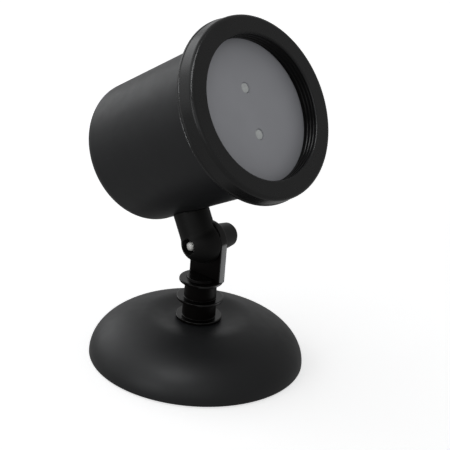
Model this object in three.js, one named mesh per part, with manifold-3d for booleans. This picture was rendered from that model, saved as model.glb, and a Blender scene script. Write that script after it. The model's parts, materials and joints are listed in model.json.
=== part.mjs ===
// Laser garden projector on a round weighted indoor base.
//
// Units are millimetres, +Z is up and the light leaves towards +X. The origin is the centre of
// the anti-slip pad's underside, on the axis of the stem. The thumb knob is on the +Y side.
import * as THREE from 'three';
import { mergeVertices } from 'three/addons/utils/BufferGeometryUtils.js';
import Module from 'manifold-3d';

// ---------------------------------------------------------------- driving dimensions
const GAP = 0.3; // clearance kept between neighbouring pieces

const BASE_RADIUS = 62.5;
const BASE_RIM_HEIGHT = 1.2; // widest level of the base
const DOME_HEIGHT = 27.4; // crest of the dome
const DOME_CREST_RADIUS = 20;
const DOME_CENTRE_HEIGHT = 24.85; // floor of the shallow dip that the stem stands in
const DIP_RADIUS = 14;
const SHELL_WALL = 2.6;
const SOCKET_RADIUS = 7.8;
const SOCKET_FLOOR = 10.3;
const SOCKET_WALL = 2.8;
const PAD_THICKNESS = 1;
const PAD_RADIUS = 57;
const PLATE_THICKNESS = 2;
const PLATE_RADIUS = 58.9;
const BASE_SCREW_COUNT = 4;
const BASE_SCREW_CIRCLE = 52.5;
const WEIGHT_INNER_RADIUS = 17;
const WEIGHT_OUTER_RADIUS = 48;
const WEIGHT_TOP = 12.5;

const SPIGOT_RADIUS = 7.5;
const SPIGOT_CHAMFER = 0.7;
const FLANGE_THICKNESS = 1.7;
const FLANGE_CHAMFER = 0.35;
const STEM_DRAFT = 0.2;
const FLANGES = [ // height of the middle of the disc, its radius, and the stem's radius above it
  { z: 26.0, radius: 13.4, stem: 9.8 },
  { z: 37.5, radius: 13.5, stem: 9.4 },
  { z: 48.7, radius: 12.7, stem: 0 },
];

const PIVOT_HEIGHT = 71.7;
const EAR_RADIUS = 11.8; // rounded top of the stem's ear, about the pivot
const EAR_INNER_Y = 1.9;
const EAR_OUTER_Y = 7;

const HEAD_TILT = THREE.MathUtils.degToRad(29.3);
const HEAD_SIDE_Y = -2.6; // the head's middle plane: the lap joint sets it to one side
const AXIS_HEIGHT = 59.8; // pivot to the head's axis, along the neck
const FRONT_X = 76.4; // pivot to the bezel's front face, along the head's axis

const NECK_RADIUS = 10.4;
const KNUCKLE_DROP = 10.8; // rounded end of the neck below the pivot
const KNUCKLE_SHOULDER = -1.5; // where the rounding starts
const HUB_RADIUS = 12; // domed hub about the pivot axis
const HUB_REACH = 14.8;
const HUB_DOME_Y = 0.5; // where the hub's dome starts
const LAP_FACE_Y = 1.55;
const LAP_CLEAR_RADIUS = 12.2;
const LAP_TOP = 9.3;
const NECK_TOP = 26; // before the saddle for the housing is cut
const NECK_SCREW_OFFSETS = [-5, 5];
const NECK_SCREW_HEAD_DROP = 35.5; // top of the screw heads, below the head's axis

const STUD_RADIUS = 2.5;
const STUD_HOLE_RADIUS = 2.8;
const STUD_TIP_Y = -12.2;
const STUD_ROOT_Y = 16;
const NUT_ACROSS_FLATS = 8;
const NUT_Y = [-7.9, -4.1];
const KNOB_Y = [8.4, 22.3];
const KNOB_NEAR_RADIUS = 8.4;
const KNOB_FAR_RADIUS = 6.7;
const WASHER_RADIUS = 6.5;
const FRICTION_WASHER_RADIUS = 9;
const FRICTION_SEAT_Y = 0.7; // floor of the hub's recess for the friction washer

const HOUSING_LENGTH = 104; // front face of the bezel to the housing's rear face
const HOUSING_FRONT_RADIUS = 42.6;
const HOUSING_REAR_RADIUS = 40.7;
const HOUSING_WALL = 2.7;
const HOUSING_CORNER = 8.4;
const COLLAR_RADIUS = 46.6; // thicker front of the housing, inside the bezel
const COLLAR_FRONT_X = -3.4;
const COLLAR_BACK_X = -13.6;
const BODY_FRONT_X = -15.6; // where the tapered body starts, behind the collar
const PILLAR_CIRCLE = 30;
const PILLAR_RADIUS = 4;
const PILLAR_COUNT = 3;
const PILLAR_FRONT_X = -53.8;

const BEZEL_FRONT_RADIUS = 50;
const BEZEL_LIP_RADIUS = 51;
const BEZEL_DEPTH = 10.6;
const OPENING_RADIUS = 39.6;
const WINDOW_RADIUS = 43.6;
const WINDOW_FRONT_X = -10.1;
const WINDOW_THICKNESS = 2;

const BEAM_Y = 1.5; // the two apertures stand one above the other
const BEAM_Z = 12.8;
const APERTURE_RADIUS = 2.8;
const MODULE_RADIUS = 6;
const MODULE_X = [-47, -17];
const GRATING_X = [-15.2, -14.2];
const GRATING_HALF_WIDTH = 5;

const SCREW_CLEARANCE = 0.4; // a hole is this much wider than its screw, on the radius
const SCREWS = {
  base: { head: 2.7, headHeight: 1, shank: 1.25, length: 9 },
  stem: { head: 3.8, headHeight: 2.2, shank: 2, length: 12 },
  neck: { head: 3, headHeight: 2, shank: 1.5, length: 12 },
  chassis: { head: 2.8, headHeight: 1.8, shank: 1.3, length: 12 },
  heatSink: { head: 2.8, headHeight: 1.8, shank: 1.5, length: 10 },
  board: { head: 2.4, headHeight: 1.6, shank: 1.1, length: 7 },
};

const ROUND_LARGE = 40; // facets round the large turned pieces
const ROUND_MEDIUM = 32;
const ROUND_KNOB = 24;
const ROUND_SMALL = 12;
const ROUND_SCREW = 8;

// ---------------------------------------------------------------- solid modelling helpers
const wasm = await Module();
wasm.setup();

// Merge a geometry's shared vertices, drop its empty faces and turn its faces outwards.
function closed(geometry) {
  const bare = geometry.index ? geometry.toNonIndexed() : geometry.clone();
  bare.deleteAttribute('normal');
  bare.deleteAttribute('uv');
  const merged = mergeVertices(bare, 1e-4);
  const source = merged.index.array;
  const position = merged.attributes.position;
  const faces = [];
  let volume = 0;
  const [a, b, c] = [new THREE.Vector3(), new THREE.Vector3(), new THREE.Vector3()];
  for (let i = 0; i < source.length; i += 3) {
    const [ia, ib, ic] = [source[i], source[i + 1], source[i + 2]];
    if (ia === ib || ib === ic || ic === ia) continue;
    faces.push(ia, ib, ic);
    a.fromBufferAttribute(position, ia);
    b.fromBufferAttribute(position, ib);
    c.fromBufferAttribute(position, ic);
    volume += a.dot(b.cross(c));
  }
  if (volume < 0) faces.reverse();
  merged.setIndex(faces);
  return merged;
}

function toSolid(geometry) {
  const mesh = closed(geometry);
  return new wasm.Manifold(new wasm.Mesh({
    numProp: 3,
    vertProperties: new Float32Array(mesh.attributes.position.array),
    triVerts: new Uint32Array(mesh.index.array),
  }));
}

function toGeometry(solid) {
  const mesh = solid.getMesh();
  const geometry = new THREE.BufferGeometry();
  geometry.setAttribute('position', new THREE.BufferAttribute(mesh.vertProperties, 3));
  geometry.setIndex(new THREE.BufferAttribute(mesh.triVerts, 1));
  return geometry;
}

function cut(geometry, ...tools) {
  const solid = tools.reduce((left, tool) => left.subtract(toSolid(tool)), toSolid(geometry));
  return toGeometry(solid);
}

function join(geometry, ...others) {
  const solid = others.reduce((left, other) => left.add(toSolid(other)), toSolid(geometry));
  return toGeometry(solid);
}

// Turn a profile of [radius, distance along the axis] points about the Z, X or Y axis.
function turnedZ(profile, segments) {
  const points = profile.map(([radius, along]) => new THREE.Vector2(radius, along));
  return new THREE.LatheGeometry(points, segments).rotateX(Math.PI / 2);
}

function turnedX(profile, segments) {
  return turnedZ(profile, segments).rotateY(Math.PI / 2);
}

function turnedY(profile, segments) {
  return turnedZ(profile, segments).rotateX(-Math.PI / 2);
}

function rodProfile(radius, from, to) {
  return [[0, from], [radius, from], [radius, to], [0, to]];
}

function ringProfile(inner, outer, from, to) {
  return [[inner, from], [outer, from], [outer, to], [inner, to], [inner, from]];
}

// Points on an ellipse about a [radius, along] centre, from one angle to another in degrees.
function arcProfile(centre, semiRadius, semiAlong, fromAngle, toAngle, steps) {
  return Array.from({ length: steps + 1 }, (_, i) => {
    const angle = THREE.MathUtils.degToRad(fromAngle + (toAngle - fromAngle) * (i / steps));
    return [centre[0] + semiRadius * Math.cos(angle), centre[1] + semiAlong * Math.sin(angle)];
  });
}

function box(x, y, z) {
  const size = [x[1] - x[0], y[1] - y[0], z[1] - z[0]];
  const geometry = new THREE.BoxGeometry(...size);
  return geometry.translate((x[0] + x[1]) / 2, (y[0] + y[1]) / 2, (z[0] + z[1]) / 2);
}

// A screw along Z: its head's top at z = 0, the shank going down to a short point.
function screw({ head, headHeight, shank, length }) {
  const tip = -headHeight - length;
  return turnedZ([
    [0, 0], [head * 0.8, 0], [head, -headHeight * 0.4], [head, -headHeight],
    [shank, -headHeight], [shank, tip + shank], [shank * 0.3, tip], [0, tip],
  ], ROUND_SCREW);
}

// Section of a hole that lets a screw's shank through.
function screwHole({ shank }, from, to) {
  return rodProfile(shank + SCREW_CLEARANCE, from, to);
}

// Angles of evenly spaced copies round a circle, the first one at the start angle in degrees.
function around(count, start) {
  return Array.from({ length: count }, (_, i) => THREE.MathUtils.degToRad(start + (360 * i) / count));
}

// ---------------------------------------------------------------- materials
function finish(color, roughness, metalness) {
  return new THREE.MeshStandardMaterial({ color, roughness, metalness });
}

const satinBlack = finish(0x2e2f31, 0.5, 0);
const glossBlack = finish(0x201f20, 0.3, 0);
const bezelBlack = finish(0x242526, 0.55, 0);
const knobBlack = finish(0x2b2c2e, 0.6, 0);
const panelGrey = finish(0x707276, 0.35, 0);
const rubberBlack = finish(0x161616, 0.85, 0);
const fibreBrown = finish(0x5a4632, 0.8, 0);
const castIron = finish(0x4b4d50, 0.75, 0.8);
const steel = finish(0xc4c2ba, 0.3, 1);
const brass = finish(0xb8964e, 0.35, 1);
const aluminium = finish(0xb2b5b8, 0.4, 1);
const boardGreen = finish(0x1d5c38, 0.5, 0);
const glass = finish(0xd6dcda, 0.08, 0);

// ---------------------------------------------------------------- base
const PLATE_BOTTOM = PAD_THICKNESS + GAP;
const PLATE_TOP = PLATE_BOTTOM + PLATE_THICKNESS;
const BOSS_RADIUS = 3.6;
const BOSS_TOP = 14;
const SHELL_BOTTOM = 0.6;
const RIM_INNER_RADIUS = BASE_RADIUS - SHELL_WALL;

function baseScrewPlaces() {
  return around(BASE_SCREW_COUNT, 45).map((angle) => (
    [BASE_SCREW_CIRCLE * Math.cos(angle), BASE_SCREW_CIRCLE * Math.sin(angle)]
  ));
}

// The dome's section: a tucked rim, an elliptical shoulder, a shallow dip and the stem's socket.
function baseShell() {
  const shoulder = [DOME_CREST_RADIUS, BASE_RIM_HEIGHT];
  const reach = BASE_RADIUS - DOME_CREST_RADIUS;
  const rise = DOME_HEIGHT - BASE_RIM_HEIGHT;
  const middleOfDip = [(DOME_CREST_RADIUS + DIP_RADIUS) / 2, (DOME_HEIGHT + DOME_CENTRE_HEIGHT) / 2];
  const socketBottom = SOCKET_FLOOR - SOCKET_WALL;
  const stemScrewHole = SCREWS.stem.shank + SCREW_CLEARANCE;
  const profile = [
    [RIM_INNER_RADIUS, SHELL_BOTTOM],
    [BASE_RADIUS - 0.5, SHELL_BOTTOM],
    ...arcProfile(shoulder, reach, rise, 0, 90, 8),
    middleOfDip,
    [DIP_RADIUS, DOME_CENTRE_HEIGHT],
    [SOCKET_RADIUS, DOME_CENTRE_HEIGHT],
    [SOCKET_RADIUS, SOCKET_FLOOR],
    [stemScrewHole, SOCKET_FLOOR],
    [stemScrewHole, socketBottom],
    [SOCKET_RADIUS + SOCKET_WALL, socketBottom],
    [SOCKET_RADIUS + SOCKET_WALL, DOME_CENTRE_HEIGHT - SHELL_WALL],
    [DIP_RADIUS, DOME_CENTRE_HEIGHT - SHELL_WALL],
    ...arcProfile(shoulder, reach - SHELL_WALL, rise - SHELL_WALL, 90, 0, 5),
    [RIM_INNER_RADIUS, SHELL_BOTTOM],
  ];
  const boss = rodProfile(BOSS_RADIUS, PLATE_TOP + GAP, BOSS_TOP);
  const pilot = screwHole(SCREWS.base, 0, BOSS_TOP - 2);
  const bosses = baseScrewPlaces().map(([x, y]) => turnedZ(boss, ROUND_SMALL).translate(x, y, 0));
  const pilots = baseScrewPlaces().map(([x, y]) => turnedZ(pilot, ROUND_SMALL).translate(x, y, 0));
  return cut(join(turnedZ(profile, ROUND_LARGE), ...bosses), ...pilots);
}

function basePlate() {
  const plate = turnedZ(rodProfile(PLATE_RADIUS, PLATE_BOTTOM, PLATE_TOP), ROUND_LARGE);
  const hole = screwHole(SCREWS.base, 0, PLATE_TOP + 1);
  const headRadius = SCREWS.base.head + SCREW_CLEARANCE;
  const headPocket = rodProfile(headRadius, 0, PLATE_BOTTOM + SCREWS.base.headHeight + GAP);
  const cutters = baseScrewPlaces().flatMap(([x, y]) => (
    [hole, headPocket].map((profile) => turnedZ(profile, ROUND_SMALL).translate(x, y, 0))
  ));
  return cut(plate, ...cutters);
}

function addBase(lamp) {
  const pad = turnedZ(rodProfile(PAD_RADIUS, 0, PAD_THICKNESS), ROUND_LARGE);
  place(lamp, 'anti_slip_pad', pad, rubberBlack);
  place(lamp, 'base_bottom_plate', basePlate(), satinBlack);
  place(lamp, 'base_shell', baseShell(), satinBlack);
  const weightBottom = PLATE_TOP + GAP;
  const weight = turnedZ([
    [WEIGHT_INNER_RADIUS, weightBottom],
    [WEIGHT_OUTER_RADIUS, weightBottom],
    [WEIGHT_OUTER_RADIUS, WEIGHT_TOP - 1.5],
    [WEIGHT_OUTER_RADIUS - 3, WEIGHT_TOP],
    [WEIGHT_INNER_RADIUS + 3, WEIGHT_TOP],
    [WEIGHT_INNER_RADIUS, WEIGHT_TOP - 1.5],
    [WEIGHT_INNER_RADIUS, weightBottom],
  ], ROUND_MEDIUM);
  place(lamp, 'base_weight', weight, castIron);
  baseScrewPlaces().forEach(([x, y], i) => {
    const fastener = place(lamp, `base_screw_${i + 1}`, screw(SCREWS.base), steel);
    fastener.position.set(x, y, PLATE_BOTTOM);
    fastener.rotation.x = Math.PI;
  });
}

// ---------------------------------------------------------------- stem
// Spigot, three disc flanges and the flat ear that carries the pivot, moulded in one.
function stemPost() {
  const half = FLANGE_THICKNESS / 2;
  const bottom = SOCKET_FLOOR + GAP;
  const profile = [
    [0, bottom],
    [SPIGOT_RADIUS - SPIGOT_CHAMFER, bottom],
    [SPIGOT_RADIUS, bottom + SPIGOT_CHAMFER],
    [SPIGOT_RADIUS, FLANGES[0].z - half],
  ];
  FLANGES.forEach(({ z, radius, stem }, i) => {
    profile.push([radius - FLANGE_CHAMFER, z - half], [radius, z - half + FLANGE_CHAMFER]);
    profile.push([radius, z + half - FLANGE_CHAMFER], [radius - FLANGE_CHAMFER, z + half]);
    profile.push([stem, z + half]);
    if (stem > 0) profile.push([stem - STEM_DRAFT, FLANGES[i + 1].z - half]);
  });
  const earTop = new THREE.Shape();
  const rise = PIVOT_HEIGHT - FLANGES[2].z;
  earTop.moveTo(-EAR_RADIUS, 0);
  earTop.lineTo(-EAR_RADIUS, rise);
  earTop.absarc(0, rise, EAR_RADIUS, Math.PI, 0, true);
  earTop.lineTo(EAR_RADIUS, 0);
  const ear = new THREE.ExtrudeGeometry(earTop, {
    depth: EAR_OUTER_Y - EAR_INNER_Y, bevelEnabled: false, curveSegments: 18,
  }).rotateX(Math.PI / 2).translate(0, EAR_OUTER_Y, FLANGES[2].z);
  const studHole = turnedY(rodProfile(STUD_HOLE_RADIUS, 0, 10), ROUND_SMALL);
  studHole.translate(0, 0, PIVOT_HEIGHT);
  const screwPilot = turnedZ(screwHole(SCREWS.stem, 0, 25), ROUND_SMALL);
  return cut(join(turnedZ(profile, ROUND_MEDIUM), ear), studHole, screwPilot);
}

function addStem(lamp) {
  place(lamp, 'stem_post', stemPost(), glossBlack);
  const washerTop = SOCKET_FLOOR - SOCKET_WALL - GAP;
  const washerBottom = washerTop - 1;
  const washerHole = SCREWS.stem.shank + SCREW_CLEARANCE;
  const washer = ringProfile(washerHole, WASHER_RADIUS, washerBottom, washerTop);
  place(lamp, 'stem_washer', turnedZ(washer, ROUND_SMALL), steel);
  const fastener = place(lamp, 'stem_screw', screw(SCREWS.stem), steel);
  fastener.position.z = washerBottom - GAP - SCREWS.stem.headHeight;
  fastener.rotation.x = Math.PI;
}

// ---------------------------------------------------------------- neck and pivot
// Outside radius of the housing's tapered body at x, measured from the bezel's front face.
function housingRadiusAt(x) {
  const rear = -HOUSING_LENGTH + HOUSING_CORNER;
  return THREE.MathUtils.mapLinear(x, BODY_FRONT_X, rear, HOUSING_FRONT_RADIUS, HOUSING_REAR_RADIUS);
}

// Round neck with a domed end, lapped on its +Y half to sit beside the stem's ear.
function neckKnuckle() {
  const [saddleRear, saddleFront] = [-FRONT_X - 20, -FRONT_X + 20];
  const body = turnedZ([
    ...arcProfile([0, KNUCKLE_SHOULDER], NECK_RADIUS, KNUCKLE_DROP + KNUCKLE_SHOULDER, -90, 0, 7),
    [NECK_RADIUS, NECK_TOP],
    [0, NECK_TOP],
  ], ROUND_MEDIUM).translate(0, HEAD_SIDE_Y, 0);
  const saddle = turnedX([
    [0, saddleRear], [housingRadiusAt(saddleRear) + GAP, saddleRear],
    [housingRadiusAt(saddleFront) + GAP, saddleFront], [0, saddleFront],
  ], ROUND_LARGE * 2).translate(FRONT_X, HEAD_SIDE_Y, AXIS_HEIGHT);
  const hub = turnedY([
    [0, LAP_FACE_Y],
    [HUB_RADIUS, LAP_FACE_Y],
    ...arcProfile([0, HUB_DOME_Y], HUB_RADIUS, HUB_REACH, 0, -90, 7),
  ], ROUND_MEDIUM);
  const frictionSeat = turnedY(rodProfile(FRICTION_WASHER_RADIUS + GAP, FRICTION_SEAT_Y, 20), ROUND_KNOB);
  const lapRound = turnedY(rodProfile(LAP_CLEAR_RADIUS, LAP_FACE_Y, 20), ROUND_LARGE);
  const lapBelow = box([-20, 20], [LAP_FACE_Y, 20], [-20, LAP_TOP]);
  const studHole = turnedY(rodProfile(STUD_HOLE_RADIUS, -20, 20), ROUND_SMALL);
  const pocketRadius = (NUT_ACROSS_FLATS / 2 + 0.15) / Math.cos(Math.PI / 6);
  const nutPocket = turnedY(rodProfile(pocketRadius, -20, NUT_Y[1] + GAP), 6);
  const pilots = NECK_SCREW_OFFSETS.map((x) => (
    turnedZ(screwHole(SCREWS.neck, LAP_TOP, NECK_TOP), ROUND_SMALL).translate(x, HEAD_SIDE_Y, 0)
  ));
  return cut(
    join(body, hub), saddle, lapRound, lapBelow, frictionSeat, studHole, nutPocket, ...pilots,
  );
}

function addPivot(head) {
  place(head, 'neck_knuckle', neckKnuckle(), satinBlack);
  NECK_SCREW_OFFSETS.forEach((x, i) => {
    const fastener = place(head, `neck_screw_${i + 1}`, screw(SCREWS.neck), steel);
    fastener.position.set(x, HEAD_SIDE_Y, AXIS_HEIGHT - NECK_SCREW_HEAD_DROP);
  });
  const nutRadius = NUT_ACROSS_FLATS / 2 / Math.cos(Math.PI / 6);
  const nut = cut(turnedY(rodProfile(nutRadius, ...NUT_Y), 6),
    turnedY(rodProfile(STUD_HOLE_RADIUS, -20, 20), ROUND_SMALL));
  place(head, 'captive_nut', nut, steel);
  const frictionY = [FRICTION_SEAT_Y + GAP, EAR_INNER_Y - GAP];
  const friction = ringProfile(STUD_HOLE_RADIUS, FRICTION_WASHER_RADIUS, ...frictionY);
  place(head, 'friction_washer', turnedY(friction, ROUND_KNOB), fibreBrown);
  const washer = ringProfile(STUD_HOLE_RADIUS, WASHER_RADIUS, EAR_OUTER_Y + GAP, KNOB_Y[0] - GAP);
  place(head, 'knob_washer', turnedY(washer, ROUND_KNOB), steel);
  const stud = turnedY([
    [0, STUD_TIP_Y], [STUD_RADIUS - 0.5, STUD_TIP_Y], [STUD_RADIUS, STUD_TIP_Y + 0.5],
    [STUD_RADIUS, STUD_ROOT_Y], [0, STUD_ROOT_Y],
  ], ROUND_SMALL);
  place(head, 'thumb_stud', stud, steel);
  const knob = turnedY([
    [STUD_HOLE_RADIUS, KNOB_Y[0]], [KNOB_NEAR_RADIUS - 0.6, KNOB_Y[0]],
    [KNOB_NEAR_RADIUS, KNOB_Y[0] + 0.6], [KNOB_FAR_RADIUS + 0.3, KNOB_Y[1] - 2.2],
    [KNOB_FAR_RADIUS - 0.4, KNOB_Y[1] - 0.7], [KNOB_FAR_RADIUS - 1.8, KNOB_Y[1]], [0, KNOB_Y[1]],
    [0, STUD_ROOT_Y + GAP], [STUD_HOLE_RADIUS, STUD_ROOT_Y + GAP], [STUD_HOLE_RADIUS, KNOB_Y[0]],
  ], ROUND_KNOB);
  place(head, 'thumb_knob', knob, knobBlack);
}

// ---------------------------------------------------------------- housing
// Everything from here on is in the optical frame: x = 0 at the bezel's front face, the head's
// axis along X and the rear of the head at negative x.
const REAR_WALL_X = -HOUSING_LENGTH + HOUSING_WALL;
const LEDGE_X = -14.4; // step that the window's seal rests against
const WINDOW_POCKET_RADIUS = WINDOW_RADIUS + 0.4;
const INLET_HOLE_RADIUS = 5.7;
const PILLAR_HOLE_DEPTH = 12;

function pillarPlaces() {
  return around(PILLAR_COUNT, 90).map((angle) => (
    [0, PILLAR_CIRCLE * Math.cos(angle), PILLAR_CIRCLE * Math.sin(angle)]
  ));
}

function housingShell() {
  const cornerX = -HOUSING_LENGTH + HOUSING_CORNER;
  const outerCorner = [HOUSING_REAR_RADIUS - HOUSING_CORNER, cornerX];
  const innerCorner = HOUSING_CORNER - HOUSING_WALL;
  const innerRadius = HOUSING_REAR_RADIUS - HOUSING_WALL;
  const profile = [
    [COLLAR_RADIUS - 0.5, COLLAR_FRONT_X],
    [COLLAR_RADIUS, COLLAR_FRONT_X - 0.5],
    [COLLAR_RADIUS, COLLAR_BACK_X],
    [COLLAR_RADIUS - 2.4, COLLAR_BACK_X - 1.4],
    [HOUSING_FRONT_RADIUS, BODY_FRONT_X],
    ...arcProfile(outerCorner, HOUSING_CORNER, HOUSING_CORNER, 0, -90, 6),
    [INLET_HOLE_RADIUS, -HOUSING_LENGTH],
    [INLET_HOLE_RADIUS, REAR_WALL_X],
    ...arcProfile([innerRadius - innerCorner, cornerX], innerCorner, innerCorner, -90, 0, 4),
    [HOUSING_FRONT_RADIUS - HOUSING_WALL, LEDGE_X],
    [WINDOW_POCKET_RADIUS, LEDGE_X],
    [WINDOW_POCKET_RADIUS, COLLAR_FRONT_X],
    [COLLAR_RADIUS - 0.5, COLLAR_FRONT_X],
  ];
  const pillar = rodProfile(PILLAR_RADIUS, REAR_WALL_X - 1, PILLAR_FRONT_X);
  const pillarPilot = screwHole(SCREWS.chassis, PILLAR_FRONT_X - PILLAR_HOLE_DEPTH, 0);
  const neckHole = screwHole(SCREWS.neck, -HOUSING_FRONT_RADIUS - 10, -HOUSING_REAR_RADIUS + 10);
  const pillars = pillarPlaces().map((at) => turnedX(pillar, ROUND_SMALL).translate(...at));
  const holes = [
    ...pillarPlaces().map((at) => turnedX(pillarPilot, ROUND_SMALL).translate(...at)),
    ...NECK_SCREW_OFFSETS.map((x) => turnedZ(neckHole, ROUND_SMALL).translate(x - FRONT_X, 0, 0)),
  ];
  return cut(join(turnedX(profile, ROUND_LARGE), ...pillars), ...holes);
}

// Snap-on ring: a flared band outside, a flat front and a skirt that reaches in to the window.
function bezelRing() {
  const channelTop = COLLAR_FRONT_X + 0.8;
  const channelRadius = COLLAR_RADIUS + 0.5;
  const skirtRadius = OPENING_RADIUS + 2;
  const skirtBack = WINDOW_FRONT_X + GAP;
  return turnedX([
    [OPENING_RADIUS + 0.5, 0],
    [BEZEL_FRONT_RADIUS - 0.9, 0],
    [BEZEL_FRONT_RADIUS - 0.2, -0.4],
    [BEZEL_FRONT_RADIUS + 0.2, -1.6],
    [BEZEL_LIP_RADIUS, -BEZEL_DEPTH + 0.8],
    [BEZEL_LIP_RADIUS - 0.2, -BEZEL_DEPTH],
    [channelRadius, -BEZEL_DEPTH],
    [channelRadius, channelTop],
    [skirtRadius, channelTop],
    [skirtRadius, skirtBack],
    [OPENING_RADIUS - 0.3, skirtBack],
    [OPENING_RADIUS, -0.6],
    [OPENING_RADIUS + 0.5, 0],
  ], ROUND_LARGE);
}

// ---------------------------------------------------------------- window and optics
function beamPlaces() {
  return [['green', BEAM_Z], ['red', -BEAM_Z]];
}

function frontWindow() {
  const back = WINDOW_FRONT_X - WINDOW_THICKNESS;
  const disc = turnedX(rodProfile(WINDOW_RADIUS, back, WINDOW_FRONT_X), ROUND_LARGE);
  const hole = rodProfile(APERTURE_RADIUS + GAP, back - 1, 0);
  const holes = beamPlaces().map(([, z]) => turnedX(hole, ROUND_SMALL).translate(0, BEAM_Y, z));
  return cut(disc, ...holes);
}

// Brass barrel with a collimator's recess in its front face.
function laserModule() {
  const [rear, front] = MODULE_X;
  const chamfer = 0.6;
  const recessRadius = 2.4;
  const recessDepth = 2.5;
  return turnedX([
    [0, rear], [MODULE_RADIUS - chamfer, rear], [MODULE_RADIUS, rear + chamfer],
    [MODULE_RADIUS, front - chamfer], [MODULE_RADIUS - chamfer, front], [recessRadius, front],
    [recessRadius, front - recessDepth], [0, front - recessDepth],
  ], ROUND_KNOB);
}

function addOptics(optical) {
  place(optical, 'front_window', frontWindow(), panelGrey);
  const sealFront = WINDOW_FRONT_X - WINDOW_THICKNESS - GAP;
  const seal = ringProfile(OPENING_RADIUS + 0.7, WINDOW_RADIUS, LEDGE_X + GAP, sealFront);
  place(optical, 'window_seal', turnedX(seal, ROUND_MEDIUM), rubberBlack);
  const lens = rodProfile(APERTURE_RADIUS, WINDOW_FRONT_X - 1.7, WINDOW_FRONT_X - 0.3);
  const gratingSide = [-GRATING_HALF_WIDTH, GRATING_HALF_WIDTH];
  for (const [colour, z] of beamPlaces()) {
    const pieces = [
      place(optical, `aperture_lens_${colour}`, turnedX(lens, ROUND_SMALL), glass),
      place(optical, `diffraction_grating_${colour}`, box(GRATING_X, gratingSide, gratingSide), glass),
      place(optical, `laser_module_${colour}`, laserModule(), brass),
    ];
    for (const piece of pieces) piece.position.set(0, BEAM_Y, z);
  }
}

// ---------------------------------------------------------------- chassis and electronics
const CHASSIS_X = [-53.5, -51.2];
const CHASSIS_RADIUS = 37;
const WIRE_HOLE = { radius: 6, y: -18, z: -12 };
const BLOCK_X = [-50.9, -22];
const BLOCK_HALF_WIDTH = 11;
const BLOCK_HALF_HEIGHT = 24;
const BLOCK_SCREW_Y = [BEAM_Y - 6.5, BEAM_Y + 6.5];
const BOARD_X = [-63.6, -62];
const BOARD_HALF_WIDTH = 19;
const BOARD_HALF_HEIGHT = 20;
const BOARD_SCREW_PLACES = [[-15, 8], [15, -14]]; // y and z
const BOARD_BOSS_RADIUS = 3;
const CAPACITOR_LENGTH = 10;

function heatSink() {
  const sides = [BEAM_Y - BLOCK_HALF_WIDTH, BEAM_Y + BLOCK_HALF_WIDTH];
  const block = box(BLOCK_X, sides, [-BLOCK_HALF_HEIGHT, BLOCK_HALF_HEIGHT]);
  const bore = rodProfile(MODULE_RADIUS + GAP, BLOCK_X[0] - 1, BLOCK_X[1] + 1);
  const pilot = screwHole(SCREWS.heatSink, BLOCK_X[0] - 1, BLOCK_X[0] + 9);
  const bores = beamPlaces().map(([, z]) => turnedX(bore, ROUND_KNOB).translate(0, BEAM_Y, z));
  const pilots = BLOCK_SCREW_Y.map((y) => turnedX(pilot, ROUND_SMALL).translate(0, y, 0));
  return cut(block, ...bores, ...pilots);
}

function innerChassis() {
  const disc = turnedX(rodProfile(CHASSIS_RADIUS, ...CHASSIS_X), ROUND_MEDIUM);
  const boss = rodProfile(BOARD_BOSS_RADIUS, BOARD_X[1] + GAP, CHASSIS_X[1] - 1);
  const bosses = BOARD_SCREW_PLACES.map(([y, z]) => turnedX(boss, ROUND_SMALL).translate(0, y, z));
  const through = [CHASSIS_X[0] - 1, CHASSIS_X[1] + 1];
  const drill = (profile, y, z) => turnedX(profile, ROUND_SMALL).translate(0, y, z);
  const holes = [
    ...pillarPlaces().map(([, y, z]) => drill(screwHole(SCREWS.chassis, ...through), y, z)),
    ...BLOCK_SCREW_Y.map((y) => drill(screwHole(SCREWS.heatSink, ...through), y, 0)),
    ...BOARD_SCREW_PLACES.map(([y, z]) => (
      drill(screwHole(SCREWS.board, BOARD_X[0], CHASSIS_X[0]), y, z)
    )),
    drill(rodProfile(WIRE_HOLE.radius, ...through), WIRE_HOLE.y, WIRE_HOLE.z),
  ];
  return cut(join(disc, ...bosses), ...holes);
}

function driverBoard() {
  const sides = [-BOARD_HALF_WIDTH, BOARD_HALF_WIDTH];
  const plain = box(BOARD_X, sides, [-BOARD_HALF_HEIGHT, BOARD_HALF_HEIGHT]);
  const hole = screwHole(SCREWS.board, BOARD_X[0] - 1, BOARD_X[1] + 1);
  const holes = BOARD_SCREW_PLACES.map(([y, z]) => turnedX(hole, ROUND_SMALL).translate(0, y, z));
  return cut(plain, ...holes);
}

// A screw along the head's axis, its head facing forwards (direction 1) or backwards (-1).
function placeAxialScrew(optical, name, size, seatX, y, z, direction) {
  const fastener = place(optical, name, screw(size), steel);
  fastener.position.set(seatX + direction * (GAP + size.headHeight), y, z);
  fastener.rotation.y = (direction * Math.PI) / 2;
}

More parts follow.
